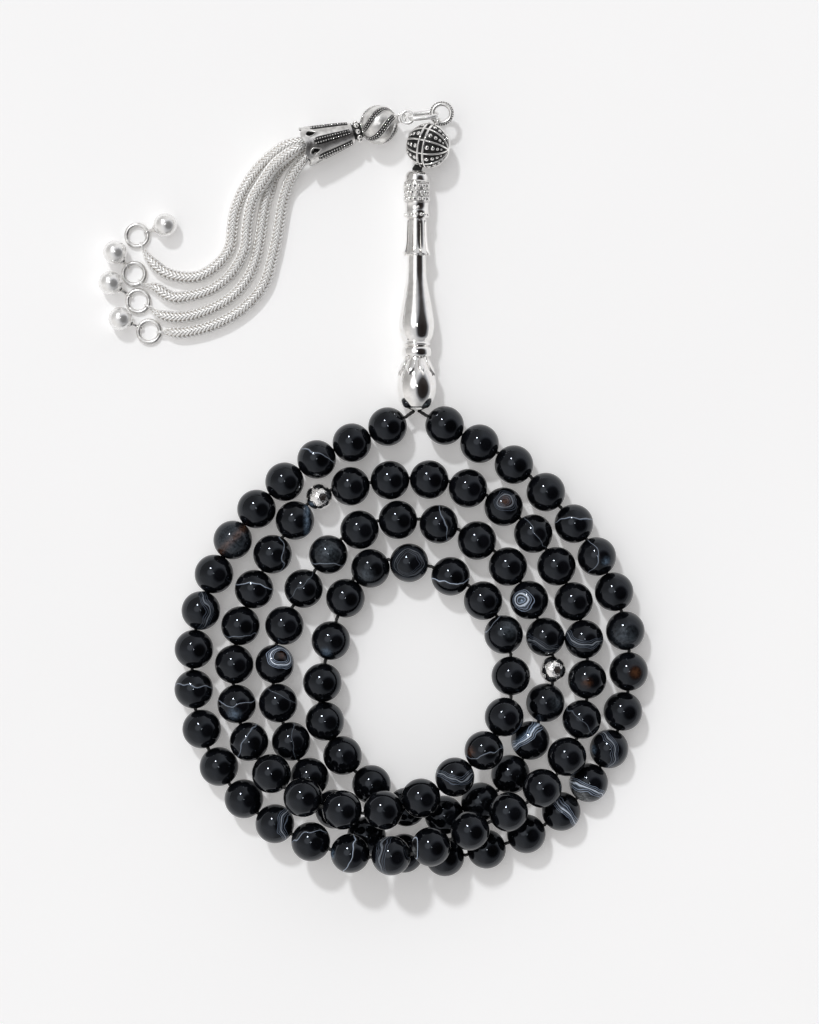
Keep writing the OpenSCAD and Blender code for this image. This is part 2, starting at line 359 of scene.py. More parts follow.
# %% Black banded agate
def banded_agate():
    finish, nodes, links, shader = finish_named("banded_agate")

    def carried(name, output):
        attribute = nodes.new("ShaderNodeAttribute")
        attribute.attribute_name = name
        return attribute.outputs[output]

    stone = carried("stone", "Vector")
    slow = noise(nodes, links, stone, 1.5, 0.6)
    fast = noise(nodes, links, stone, 7, 4)
    bend = calculated(nodes, links, "MULTIPLY", calculated(nodes, links, "SUBTRACT", slow, 0.5), 0.5)
    ripple = calculated(nodes, links, "MULTIPLY", calculated(nodes, links, "SUBTRACT", fast, 0.5), 0.012)
    wander = calculated(nodes, links, "ADD", bend, ripple)
    band = calculated(nodes, links, "ADD", carried("band", "Fac"), wander)
    spread = nodes.new("ShaderNodeMapRange")
    spread.inputs["From Min"].default_value = -1
    spread.inputs["From Max"].default_value = 1
    links.new(band, spread.inputs["Value"])
    pale = (0.36, 0.44, 0.58)
    white = (0.70, 0.78, 0.90)
    stripe = ramp(nodes, links, spread.outputs["Result"], [
        (0.0, 0.0), (0.485, 0.0), (0.498, pale), (0.508, white), (0.516, 0.05), (0.54, 0.02), (0.56, 0.0)])
    fan = ramp(nodes, links, spread.outputs["Result"], [
        (0.0, 0.0), (0.40, 0.0), (0.41, pale), (0.42, 0.02), (0.445, 0.01), (0.455, pale), (0.47, 0.03),
        (0.495, 0.02), (0.505, white), (0.525, white), (0.54, (0.08, 0.10, 0.13)), (0.565, 0.01),
        (0.575, pale), (0.585, 0.0), (0.61, 0.01), (0.62, pale), (0.632, 0.0)])

    thick = ramp(nodes, links, fast, [(0.35, 0.25), (0.65, 1.0)])
    cloud = mixed(nodes, links, "MULTIPLY", 1.0, carried("patch", "Color"), thick)
    dark = ramp(nodes, links, slow, [(0.35, (0.0016, 0.0018, 0.0024)), (0.7, (0.0040, 0.0044, 0.0060))])
    base = mixed(nodes, links, "ADD", 1.0, dark, cloud)
    lined = mixed(nodes, links, "ADD", carried("line", "Fac"), base, stripe)
    fanned = mixed(nodes, links, "ADD", carried("fan", "Fac"), lined, fan)
    links.new(fanned, shader.inputs["Base Color"])
    links.new(ramp(nodes, links, fast, [(0.4, 0.045), (0.8, 0.09)]), shader.inputs["Roughness"])
    shader.inputs["IOR"].default_value = 1.46
    shader.inputs["Specular Tint"].default_value = (0.80, 0.88, 1.0, 1)
    return finish


agate = banded_agate()

# %% [markdown]
# ## The strand's route
# The beads lie in four loose loops, some of them on top of others. The engineering model
# gives the place of every second bead, and a smooth curve through those gives the rest. The
# cord bends between beads, so each bead's hole points from one knot to the next.

# %% Places along the strand
BEADS = 33
BEAD_R = (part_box("bead_01")[1].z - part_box("bead_01")[0].z) / 2 / MM
MARKER_R = (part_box("marker_bead_1")[1].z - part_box("marker_bead_1")[0].z) / 2 / MM
FOOT = Vector((1, 15.65, 4))
STRANDS_APART = Vector((0.9, 0, 0))
FIRST_THIRD = [
    (-4.5, 12, 0), (-19, 6, 0), (-31, -4, 0), (-39.5, -17, 0), (-43.5, -32, 0), (-42, -48, 0),
    (-33.5, -62, 0), (-20, -70, 4.5), (-4, -72.5, 8.5), (11.5, -67.5, 6.5), (26, -59.5, 5),
    (34, -46, 1.5), (34.5, -30, 0), (29, -15.5, 0), (18.5, -3.5, 0), (3.5, 2, 0), (-12, 0.5, 0)]
MARKER_1_AT = (-18.5, -1.5, 0)
SECOND_THIRD = [
    (-23.5, -6.5, 0), (-31.5, -20, 0), (-35.5, -35, 0), (-32.5, -50.5, 0), (-21.5, -61, 8), (-5.5, -63.5, 8),
    (8.5, -57, 6), (18.5, -45.5, 4), (18.5, -29, 0), (8, -17.5, 0), (-8.5, -15.5, 0), (-16, -30.5, 0),
    (-17.5, -46.5, 0), (-8, -59, 0), (6.5, -65.5, 0), (20, -57, 0), (26.5, -43, 0)]
MARKER_2_AT = (28.5, -36, 0)
LAST_THIRD = [
    (26.5, -29.5, 0), (19.5, -15.5, 0), (5.5, -7, 0), (-10.5, -8, 0), (-21.5, -20, 0), (-27.5, -35, 0),
    (-24, -50.5, 0), (-15.5, -64, 0), (-1.5, -73, 0), (15, -72, 0), (30, -64.5, 0), (39.5, -52, 0),
    (43.5, -36.5, 0), (40.5, -20.5, 0), (32.5, -7, 0), (20.5, 5, 0), (6.5, 12.5, 0)]


def lifted(p):
    return Vector((p[0], p[1], BEAD_R + max(p[2], 0)))


def bead_line(third):
    points = [Vector(p) for p in third]
    return [lifted(curve_through(points, i / 2)) for i in range(BEADS)]


strung = (bead_line(FIRST_THIRD) + [lifted(MARKER_1_AT)] + bead_line(SECOND_THIRD)
          + [lifted(MARKER_2_AT)] + bead_line(LAST_THIRD))
MARKERS = (BEADS, 2 * BEADS + 1)
LAST = len(strung) - 1


def strung_r(i):
    return MARKER_R if i in MARKERS else BEAD_R


def beyond(i):
    """The bead at i, or where the line would go on past either end."""
    if i < 0:
        return 2 * strung[0] - strung[1]
    if i > LAST:
        return 2 * strung[LAST] - strung[LAST - 1]
    return strung[i]


def knot(i):
    a, b, r = strung[i - 1], strung[i], strung_r(i - 1)
    pull = (a + b - beyond(i - 2) - beyond(i + 1)) / 8
    pull.z = 0
    return a + (b - a) * r / (r + strung_r(i)) + pull


foot_left, foot_right = FOOT - STRANDS_APART / 2, FOOT + STRANDS_APART / 2
END_GAP = 0.1
knots = ([strung[0] + (BEAD_R + END_GAP) * (foot_left - strung[0]).normalized()]
         + [knot(i) for i in range(1, LAST + 1)]
         + [strung[LAST] + (BEAD_R + END_GAP) * (foot_right - strung[LAST]).normalized()])
bead_at = [(knots[i] + knots[i + 1]) / 2 for i in range(LAST + 1)]
bead_way = [(knots[i + 1] - knots[i]).normalized() for i in range(LAST + 1)]
print("bead 5 is off its place by mm:", round((bead_at[4] - middle("bead_05") / MM).length, 4))

# %% [markdown]
# ## Foxtail chains
# Each tassel chain is woven from looped wire, which reads as rows of little V shapes running
# down the chain. One row is modelled straight, an array repeats it, and a curve modifier
# bends the whole along its route. That keeps every V alike and needs no weaving by hand.

# %% Routes of the four chains
CHAIN_D = 2.6
CHAIN_ROUTES = [
    [(-20.5, 69.5, 4), (-22.5, 69.5, 4), (-25.5, 68.5, 3.2), (-28.5, 66.5, 2.2), (-31.5, 63.5, 1.4),
     (-34, 59.5, 1.4), (-35.5, 55.5, 1.4), (-36, 52, 1.4), (-36.5, 48.5, 1.4), (-38.5, 45.5, 1.4),
     (-42, 43, 1.4), (-45.5, 42.5, 1.4), (-49.5, 43.5, 1.4), (-52.5, 46, 1.4), (-54, 48.5, 0.6)],
    [(-20.5, 68.5, 4.8), (-22.5, 68, 5.9), (-25, 66.5, 5.4), (-27.5, 64.5, 4.6), (-30, 61, 3.7),
     (-32, 57.5, 3), (-33, 52.5, 2.6), (-33.5, 48, 2.5), (-36, 43.5, 1.8), (-39.5, 40.5, 1.4),
     (-43.5, 39, 1.4), (-48, 38.5, 1.4), (-51.5, 40.5, 1.4), (-54, 41, 0.6)],
    [(-20.5, 68.5, 3.2), (-22, 68, 2), (-25, 66, 1.5), (-27.5, 63, 1.4), (-28.5, 60, 1.4),
     (-29.5, 56.5, 1.4), (-30.5, 50, 1.4), (-31.5, 45.5, 1.4), (-33.5, 41.5, 1.4), (-37, 38, 1.4),
     (-42, 35.5, 1.4), (-46.5, 34.5, 1.4), (-50.5, 35, 1.4), (-52.5, 36.5, 0.6)],
    [(-20, 68, 4), (-21.5, 66, 4), (-23.5, 63.5, 2.8), (-25, 60.5, 1.6), (-26, 57, 1.4),
     (-27, 51, 1.4), (-28, 46.5, 1.4), (-29.5, 41.5, 1.4), (-32.5, 37.5, 1.4), (-36.5, 34.5, 1.4),
     (-41, 32.5, 1.4), (-45.5, 31.5, 1.4), (-48.5, 31.5, 1.2), (-50, 31.5, 0.6)]]
CURVE_STEPS = 8


def chain_line(route):
    points = [Vector(p) for p in route]
    return [curve_through(points, i / CURVE_STEPS) for i in range((len(points) - 1) * CURVE_STEPS + 1)]


def length_of(line):
    return sum((b - a).length for a, b in zip(line, line[1:]))


def guide(name, line, radii):
    """A curve object that the curve modifier bends a chain along."""
    curve = bpy.data.curves.new(name, "CURVE")
    curve.dimensions = "3D"
    curve.twist_mode = "Z_UP"
    spline = curve.splines.new("POLY")
    spline.points.add(len(line) - 1)
    for point, place, radius in zip(spline.points, line, radii):
        point.co = (*(place * MM), 1)
        point.radius = radius
    rail = bpy.data.objects.new(name, curve)
    bpy.context.collection.objects.link(rail)
    return rail


# %% Wire rings and the chain's last link
RING_R = 2.175
RING_WIRE = 0.95
LOOP_R = 0.8
LOOP_WIRE = 0.45


def wire_ring(name, radius, wire, finish, slit=None, sides=56):
    """A ring lying flat at the origin, with an optional slit at an angle."""
    bpy.ops.object.select_all(action="DESELECT")
    bpy.ops.mesh.primitive_torus_add(major_radius=radius * MM, minor_radius=wire / 2 * MM,
                                     major_segments=sides, minor_segments=16)
    ring = added(name, finish)
    if slit is not None:
        edit(ring)
        way = heading(slit)
        pick(ring, lambda p: p.xy.normalized().dot(way.xy) > math.cos(math.radians(4)))
        bpy.ops.transform.resize(value=(0.96, 0.96, 0.86), center_override=way * radius * MM)
        leave_edit()
    return smooth_shaded(ring)


# %% One row of the weave
ROW_PITCH = 0.82
GRAIN_LONG = 0.86
GRAIN_THICK = 0.27
GRAIN_SLANT = 36


def weave_row():
    grains = []
    for side in range(4):
        for hand in (-1, 1):
            grain = sphere("grain", 1, chain_silver, 8, 6)
            grain.scale = (GRAIN_THICK, GRAIN_THICK, GRAIN_LONG)
            settle(grain)
            edit(grain)
            pick(grain, lambda p: p.z < -0.3 * MM)
            bpy.ops.transform.resize(value=(0.7, 0.7, 1), center_override=(0, 0, 0))
            leave_edit()
            lean = around(90, "Y") @ around(hand * GRAIN_SLANT, "X")
            out = Matrix.Translation(Vector((0, hand * 0.5, CHAIN_D / 2 - 0.42)) * MM)
            settle(grain, around(side * 90 + 45, "X") @ out @ around(hand * -20, "X") @ lean)
            grains.append(grain)
    return joined("weave_row", grains)


def end_loop(k, chain_end):
    """The chain's last link, which stands upright and holds the end ring's wire."""
    ring_at = middle(f"end_ring_{k + 1}") / MM
    back = Vector((chain_end.x - ring_at.x, chain_end.y - ring_at.y, 0)).normalized()
    turn = math.degrees(math.atan2(back.y, back.x))
    place = ring_at + back * (RING_R + 0.25)
    place.z = LOOP_R + LOOP_WIRE / 2
    loop = wire_ring("end_loop", LOOP_R, LOOP_WIRE, chain_silver, sides=28)
    return settle(loop, Matrix.Translation(place * MM) @ around(turn) @ around(90, "X"))


def woven_chain(k):
    line = chain_line(CHAIN_ROUTES[k])
    length = length_of(line)
    taper = [min(1.0, 0.35 + i / 22, 0.3 + (len(line) - 1 - i) / 16) for i in range(len(line))]
    rail = guide("chain_rail", line, taper)
    rows = round(length / ROW_PITCH)
    weave = weave_row()
    settle(weave, Matrix.Translation((ROW_PITCH / 2 * MM, 0, 0)))
    applied(weave, "ARRAY", count=rows, use_relative_offset=False, use_constant_offset=True,
            constant_offset_displace=(ROW_PITCH * MM, 0, 0))
    bpy.ops.object.select_all(action="DESELECT")
    bpy.ops.mesh.primitive_cylinder_add(vertices=12, radius=0.86 * MM, depth=length * MM,
                                        location=(length / 2 * MM, 0, 0), rotation=(0, math.pi / 2, 0))
    core = settle(added("core", chain_shade))
    edit(core)
    bpy.ops.mesh.select_all(action="SELECT")
    bpy.ops.mesh.bisect(plane_co=(0.5 * MM, 0, 0), plane_no=(1, 0, 0))
    for cut in range(1, rows):
        bpy.ops.mesh.select_all(action="SELECT")
        bpy.ops.mesh.bisect(plane_co=(ROW_PITCH * cut * MM, 0, 0), plane_no=(1, 0, 0))
    leave_edit()
    weave = joined("weave", [weave, core])
    applied(weave, "CURVE", object=rail, deform_axis="POS_X")
    bpy.data.objects.remove(rail)
    smooth_shaded(weave)
    return joined(f"foxtail_chain_{k + 1}", [weave, end_loop(k, line[-1])]), line, length


chains = [woven_chain(k) for k in range(4)]
for chain, line, length in chains:
    print(chain.name, "length mm", round(length, 1), "faces", len(chain.data.polygons))

# %% [markdown]
# ## End rings and drops
# Every chain ends in a wire ring with a polished drop on it. The ring is closed by hand, so
# a fine slit shows where its two ends meet. The drop is a ball with a seam around it, a
# little neck, and an eye that the ring passes through.

# %% Rings at the ends of the chains
SLIT_TURNS = (200, 160, 215, 150)
for k in range(4):
    ring = wire_ring(f"tassel_ring_{k + 1}", RING_R, RING_WIRE, worn_silver, SLIT_TURNS[k])
    settle(ring, Matrix.Translation(middle(f"end_ring_{k + 1}")))
    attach(ring, f"end_ring_{k + 1}")
    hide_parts(f"end_ring_{k + 1}")

# %% Drops
DROP_R = 2.4
DROP_EYE_R = 0.75
SEAM_HALF = 0.09


def drop_middle(k):
    """The ball touches its node's box on the sides that face away from the ring."""
    low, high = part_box(f"drop_{k + 1}")
    ring = middle(f"end_ring_{k + 1}")
    x = high.x / MM - DROP_R if (low + high).x / 2 > ring.x else low.x / MM + DROP_R
    return Vector((x, high.y / MM - DROP_R, DROP_R))


def polished_drop(k):
    name = f"polished_drop_{k + 1}"
    ball_at, ring_at = drop_middle(k), middle(f"end_ring_{k + 1}") / MM
    flat_way = Vector((ball_at.x - ring_at.x, ball_at.y - ring_at.y, 0)).normalized()
    eye_at = ring_at + RING_R * flat_way
    way = (ball_at - eye_at).normalized()
    ball = sphere("ball", DROP_R, bright_silver, 48, 32)
    edit(ball)
    pick(ball, lambda p: abs(p.z) < SEAM_HALF * MM)
    bpy.ops.mesh.bevel(offset=0.1 * MM, affect="EDGES")
    pick(ball, lambda p: abs(p.z) < 0.02 * MM)
    bpy.ops.transform.resize(value=(0.985, 0.985, 1), center_override=(0, 0, 0))
    leave_edit()
    smooth_shaded(ball)
    settle(ball, along(way, ball_at * MM))
    neck_start = DROP_R - 0.15
    reach = (ball_at - eye_at).length - DROP_EYE_R
    neck = turned("neck", [(0.95, -neck_start), (0.95, -neck_start - 0.22), (0.62, -neck_start - 0.34),
                           (0.5, -neck_start - 0.5), (0.42, -reach)], polished_silver, 24)
    settle(neck, along(way, ball_at * MM))
    eye = wire_ring("eye", DROP_EYE_R, 0.4, polished_silver, sides=32)
    settle(eye, along(flat_way.cross(Vector((0, 0, 1))), eye_at * MM))
    return joined(name, [ball, neck, eye])


drops = [polished_drop(k) for k in range(4)]
for k, drop in enumerate(drops):
    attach(drop, f"drop_{k + 1}")
    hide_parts(f"drop_{k + 1}")

for k, (chain, line, length) in enumerate(chains):
    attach(chain, "chain_bundle")
    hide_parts(f"chain_{k + 1}")
    [p * MM for p in line]

# %% [markdown]
# ## The beads' cord
# The cord is three waxed threads twisted together. It shows only where two beads leave a
# gap, but there the twist catches the light, so the three threads are modelled and not
# painted on. Each is a curve that winds around the cord's own line.

# %% Twisted cord
TWIST_PITCH = 2.4
PLY_R = 0.2
PLY_OUT = 0.19
CORD_STEP = 0.5
NECK_PLY_R = 0.17
NECK_PLY_OUT = 0.15


def evenly(line, step):
    """Points a fixed distance apart along a line of points."""
    made, rest = [line[0]], step
    for a, b in zip(line, line[1:]):
        span = (b - a).length
        while rest <= span:
            made.append(a.lerp(b, rest / span))
            rest += step
        rest -= span
    return made + [line[-1]]


def twisted(name, line, finish, ply_r=PLY_R, ply_out=PLY_OUT):
    points = evenly(line, CORD_STEP)
    curve = thick_curve(name, ply_r, 1)
    for ply in range(3):
        spline = curve.splines.new("POLY")
        spline.points.add(len(points) - 1)
        for i, here in enumerate(points):
            way = (points[min(i + 1, len(points) - 1)] - points[max(i - 1, 0)]).normalized()
            side = way.cross(Vector((0, 0, 1))).normalized()
            up = side.cross(way)
            turn = 2 * math.pi * (i * CORD_STEP / TWIST_PITCH + ply / 3)
            place = here + ply_out * (math.cos(turn) * side + math.sin(turn) * up)
            spline.points[i].co = (*(place * MM), 1)
    return mesh_from(name, curve, finish)


strand_cord = twisted("strand_cord_twist", [foot_left] + knots + [foot_right], black_thread)
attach(strand_cord, "strand")
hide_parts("strand_cord")
print("cord faces:", len(strand_cord.data.polygons))

# %% Cord through the imame, and its neck into the ball
imame_low, imame_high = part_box("imame")
ball_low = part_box("knob_ball")[0]
BALL_R = 4.5
imame_foot = Vector((1, imame_low.y / MM, 4))
imame_top = Vector((1, imame_high.y / MM, 4))
ball_at = ball_low / MM + Vector((BALL_R, BALL_R, BALL_R))
neck_way = (ball_at - imame_top).normalized()

runs = [twisted("run", [imame_foot + side + Vector((0, 0.3, 0)), imame_foot + side + Vector((0, 24, 0)),
                        imame_top + side * 0.6], black_thread)
        for side in (-STRANDS_APART / 2, STRANDS_APART / 2)]
neck_side = neck_way.cross(Vector((0, 0, 1))).normalized()
for spread in (-0.8, -0.4, 0, 0.4, 0.8):
    start = imame_top - Vector((0, 0.8, 0)) + neck_side * spread * 0.85
    end = ball_at + neck_side * spread * 0.5 - neck_way * 2.5
    route = [start, start + Vector((0, 0.9, 0)), end]
    runs.append(twisted("run", route, black_thread, NECK_PLY_R, NECK_PLY_OUT))
imame_cord = joined("imame_cord_twist", runs)
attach(imame_cord, "imame_cord")
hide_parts("imame_cord")

# %% [markdown]
# ## The beads
# One bead is modelled from a sphere: its poles are opened to the size of the hole, and the
# two rims are bridged by the hole's wall. It is then copied to every place on the cord, each
# copy with its own mesh, because each carries its own stripes.

# %% One bead with its hole
BORE_R = 0.62


def round_bead():
    bead = sphere("round_bead", BEAD_R, agate, 48, 40)
    edit(bead)
    pick(bead, lambda p: math.hypot(p.x, p.y) < (BORE_R - 0.1) * MM)
    bpy.ops.mesh.delete(type="VERT")
    pick(bead, lambda p: math.hypot(p.x, p.y) < BORE_R * MM)
    bpy.ops.mesh.bridge_edge_loops()
    bpy.ops.mesh.select_all(action="SELECT")
    bpy.ops.mesh.normals_make_consistent(inside=False)
    leave_edit()
    return smooth_shaded(bead, 40)


master_bead = round_bead()
print("faces of one bead:", len(master_bead.data.polygons))

# %% [markdown]
# The stripes are listed bead by bead. A line runs straight or bowed across a bead, a
# fan is several such lines side by side, an eye is a set of rings around a point, a patch is
# a clouded spot, and a belt is a clouded strip. Angles are in degrees around the bead as it
# lies, and distances are in parts of its radius.

# %% Markings of the beads
ICE, MILK, RUST, SMOKE = (0.16, 0.23, 0.32), (0.42, 0.44, 0.45), (0.11, 0.045, 0.02), (0.07, 0.085, 0.10)


def line(turn, out, strength, bow=0.0):
    return ("line", turn, out, strength, bow)


def fan(turn, out, strength, bow=0.0):
    return ("fan", turn, out, strength, bow)


def eye(turn, out, size, strength):
    return ("eye", turn, out, strength, size)


def patch(turn, out, size, tint):
    return ("patch", turn, out, size, tint)


def belt(turn, out, half, tint):
    return ("belt", turn, out, half, tint)


MARKINGS = {
    "A3": [line(68, 0.33, 0.45, 0.15)], "A6": [patch(90, 0.0, 1.4, SMOKE), belt(315, 0.0, 0.3, RUST)],
    "A8": [fan(5, 0.4, 0.22, 0.4)], "A10": [line(90, 0.2, 0.4)], "A14": [fan(0, 0.4, 0.5, -0.35)],
    "A15": [line(110, 0.6, 0.5, 0.4)], "A16": [line(345, 0.1, 0.95, 0.1), patch(180, 0.9, 0.35, ICE)],
    "A17": [fan(180, 0.55, 0.2, 0.4)], "A18": [line(190, 0.75, 0.9), patch(190, 0.9, 0.35, MILK)],
    "A23": [line(225, 0.1, 0.15)], "A24": [patch(240, 0.15, 0.4, RUST)], "A25": [fan(260, 0.2, 0.3, 0.5)],
    "A28": [line(30, 0.1, 0.2)], "A29": [eye(80, 0.3, 0.35, 0.2), patch(80, 0.3, 0.45, RUST)],
    "B1": [belt(0, 0.66, 0.24, ICE)], "B2": [line(0, 0.62, 0.5, 0.25)], "B3": [line(80, 0.3, 0.75, 0.15)],
    "B4": [line(270, 0.5, 0.35, 0.1)], "B6": [line(270, 0.0, 0.5, 0.2), patch(260, 0.5, 0.5, ICE)],
    "B7": [line(150, 0.35, 0.35, 0.3)], "B13": [fan(265, 0.0, 0.3, 0.3)],
    "B14": [line(290, 0.15, 0.4, 0.1), patch(180, 0.7, 0.4, RUST)],
    "B17": [line(135, 0.75, 0.4), patch(60, 0.4, 0.7, SMOKE)], "B19": [line(270, 0.3, 1.3, 0.15)],
    "B20": [eye(90, 0.0, 0.75, 0.12)], "B21": [patch(240, 0.4, 0.6, SMOKE)],
    "B23": [patch(250, 0.6, 0.4, ICE)],
    "B32": [fan(130, 0.3, 0.9), belt(130, 0.45, 0.22, ICE)], "B33": [patch(0, 0.6, 0.6, SMOKE)],
    "C1": [fan(250, 0.4, 0.15)], "C2": [eye(180, 0.4, 0.33, 0.8), patch(180, 0.4, 0.3, ICE)],
    "C5": [line(20, 0.35, 0.4, 0.2)], "C8": [line(265, 0.45, 0.45), patch(90, 0.2, 1.0, SMOKE)],
    "C9": [line(135, 0.2, 0.12)], "C11": [eye(52, 0.6, 0.5, 1.0), patch(52, 0.62, 0.3, RUST)],
    "C12": [line(60, 0.5, 0.12)], "C13": [line(0, 0.15, 0.15)], "C21": [fan(45, 0.2, 0.8)],
    "C22": [fan(245, 0.25, 0.9), patch(240, 0.85, 0.75, MILK)],
    "C23": [fan(10, 0.2, 0.3, 0.5), patch(180, 0.85, 0.3, ICE)], "C25": [patch(0, 0.3, 0.5, RUST)],
    "C26": [patch(250, 0.3, 1.0, SMOKE)], "C28": [line(0, 0.1, 0.35, 0.9), patch(330, 0.5, 0.35, ICE)],
    "C29": [line(90, 0.25, 0.45, 0.15)]}
FAR_BAND = 3.0


def mark(bead, code, centre, number):
    """Write a bead's band distance, its line and fan strengths, and its clouded spots on its points."""
    count = len(bead.data.vertices)
    places = np.empty(count * 3)
    bead.data.vertices.foreach_get("co", places)
    at = (places.reshape(-1, 3) - np.array(centre) * MM) / (BEAD_R * MM)
    band, tint = np.full(count, FAR_BAND), np.zeros((count, 4))
    strength = {"line": np.zeros(count), "fan": np.zeros(count)}
    for kind, turn, out, first, second in MARKINGS.get(code, []):
        way = np.array(heading(turn))
        over = np.array((-way[1], way[0], 0))
        spot = way * out + np.array((0, 0, math.sqrt(1 - out * out)))
        away = np.linalg.norm(at - spot, axis=1)
        if kind in strength:
            band = at @ way - out + second * (at @ over) ** 2
            strength[kind][:] = first
        elif kind == "eye":
            band = away - second
            strength["fan"][:] = first
        else:
            gap = np.abs(at @ way - out) if kind == "belt" else away
            tint[:, :3] += np.clip(1 - gap / first, 0, 1)[:, None] ** 1.5 * np.array(second)
    tint[:, 3] = 1
    stone = at + np.array((number * 3.7 % 50, number * 8.3 % 50, number * 5.9 % 50))
    written = [("stone", "FLOAT_VECTOR", "vector", stone), ("band", "FLOAT", "value", band),
               ("line", "FLOAT", "value", strength["line"]), ("fan", "FLOAT", "value", strength["fan"]),
               ("patch", "FLOAT_COLOR", "color", tint)]
    for name, kind, key, values in written:
        bead.data.attributes.new(name, kind, "POINT").data.foreach_set(key, values.ravel())


BEAD_FULL = 1.02


def placed_bead(i, code):
    bead = master_bead.copy()
    bead.data = master_bead.data.copy()
    bpy.context.collection.objects.link(bead)
    settle(bead, along(bead_way[i], bead_at[i] * MM) @ around(i * 137.5) @ Matrix.Scale(BEAD_FULL, 4))
    mark(bead, code, bead_at[i], i)
    return bead


thirds = [[placed_bead(first + k, f"{letter}{k + 1}") for k in range(BEADS)]
          for letter, first in (("A", 0), ("B", BEADS + 1), ("C", 2 * BEADS + 2))]
bpy.data.objects.remove(master_bead)
for k, bead in enumerate(thirds[0]):
    bead.name = bead.data.name = f"agate_bead_{k + 1:02d}"
    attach(bead, f"bead_{k + 1:02d}")
    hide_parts(f"bead_{k + 1:02d}")
for beads, node in ((thirds[1], "beads_second_third"), (thirds[2], "beads_last_third")):
    third = joined(f"agate_{node}", beads)
    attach(third, "strand")
    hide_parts(node)
    print(third.name, "faces", len(third.data.polygons))

# %% [markdown]
# ## Marker beads
# Two hammered silver beads divide the strand into thirds. A sphere of flat facets with
# softened edges catches the light like metal worked with a small hammer.

# %% Hammered marker beads
def hammered_bead(number, i):
    bpy.ops.object.select_all(action="DESELECT")
    bpy.ops.mesh.primitive_ico_sphere_add(subdivisions=3, radius=MARKER_R * MM)
    bead = added(f"hammered_marker_{number}", polished_silver)
    edit(bead)
    bpy.ops.mesh.select_all(action="SELECT")
    bpy.ops.mesh.poke(offset=-0.11 * MM)
    pick(bead, lambda p: math.hypot(p.x, p.y) < 0.3 * MM)
    bpy.ops.transform.resize(value=(1, 1, 0.8), center_override=(0, 0, 0))
    leave_edit()
    applied(bead, "SUBSURF", levels=2, render_levels=2)
    smooth_shaded(bead)
    return settle(bead, along(bead_way[i], bead_at[i] * MM))


for number, i in enumerate(MARKERS, 1):
    marker = hammered_bead(number, i)
    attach(marker, f"marker_bead_{number}")
    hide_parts(f"marker_bead_{number}")

# %% [markdown]
# ## The imame
# The imame is turned like a tiny table leg: a bulb at the foot, a ring, a long belly that
# narrows to a neck, a fluted skirt, and three rows of silver grains under a smooth cap. The
# smooth parts are turned, the skirt's flutes are pinched in, and leaves and grains are
# modelled once and copied around the axis.

# %% Turned body of the imame
SMOOTH_BULB = [(1.12, 0), (1.5, 0.02), (2.1, 0.25), (2.8, 0.8), (3.7, 2.7), (3.97, 5), (3.5, 7.4), (2.7, 9.2),
               (2.3, 10.5)]
BULB_RING = [(2.3, 10.5), (2.55, 10.55), (2.8, 10.75), (2.95, 11.1), (2.98, 11.6), (2.95, 12.1), (2.8, 12.45),
             (2.5, 12.6), (2.35, 12.7)]
FLANGE = [(2.35, 12.75), (2.75, 12.9), (2.85, 13.15), (2.7, 13.45), (2.65, 13.6)]
BELLY = [(2.7, 13.7), (3.2, 14.6), (3.52, 16.3), (3.45, 18.2), (3.0, 21), (2.45, 24), (2.0, 27), (1.87, 30.8)]
HEAD = [(2.0, 38.3), (2.42, 38.35), (2.42, 39.5), (2.42, 39.75), (2.36, 39.9), (2.34, 40.9), (2.42, 41.1),
        (2.48, 41.3), (2.3, 41.45), (2.3, 45.4), (2.55, 45.5), (2.5, 45.7), (2.38, 45.85), (2.36, 46.6),
        (2.2, 47.15), (1.85, 47.55), (1.45, 47.75), (1.12, 47.8)]


def imame_body():
    outline = (rounded(SMOOTH_BULB, 4) + rounded(BULB_RING, 3) + rounded(FLANGE, 3) + rounded(BELLY, 5)
               + [(1.85, 38.2)] + HEAD)
    body = turned("imame_body", outline, polished_silver)
    wall = turned("imame_bore", [(1.12, 0), (1.1, 20), (1.1, 47.8)], black_silver, 32)
    edit(wall)
    bpy.ops.mesh.select_all(action="SELECT")
    bpy.ops.mesh.flip_normals()
    leave_edit()
    return [body, wall]


# %% Fluted skirt of long petals
SKIRT = [(1.95, 38.3), (2.05, 37.6), (2.1, 36), (2.2, 34), (2.4, 32.4), (2.72, 31.3), (2.77, 30.95),
         (2.6, 30.8), (1.9, 31.1)]
PETALS = 10
SKIRT_SIDES = 120


def skirt():
    cloth = turned("imame_skirt", rounded(SKIRT, 3), polished_silver, SKIRT_SIDES)
    edit(cloth)
    per_petal = SKIRT_SIDES // PETALS

    def column(p):
        return round(math.degrees(math.atan2(p.y, p.x)) / (360 / SKIRT_SIDES)) % per_petal

    for offset, depth in ((0, 0.7), (1, 0.88), (per_petal - 1, 0.88)):
        pick(cloth, lambda p: column(p) == offset and 31.05 * MM < p.z < 37.9 * MM)
        bpy.ops.transform.resize(value=(depth, depth, 1), center_override=(0, 0, 0))
    for offset, lift in ((0, 0.5), (1, 0.3), (per_petal - 1, 0.3), (2, 0.12), (per_petal - 2, 0.12)):
        pick(cloth, lambda p: column(p) == offset and p.z < 31.9 * MM)
        bpy.ops.transform.translate(value=(0, 0, lift * MM))
    leave_edit()
    return smooth_shaded(cloth, 50)


# %% Leaves over the bulb
LEAVES = 8


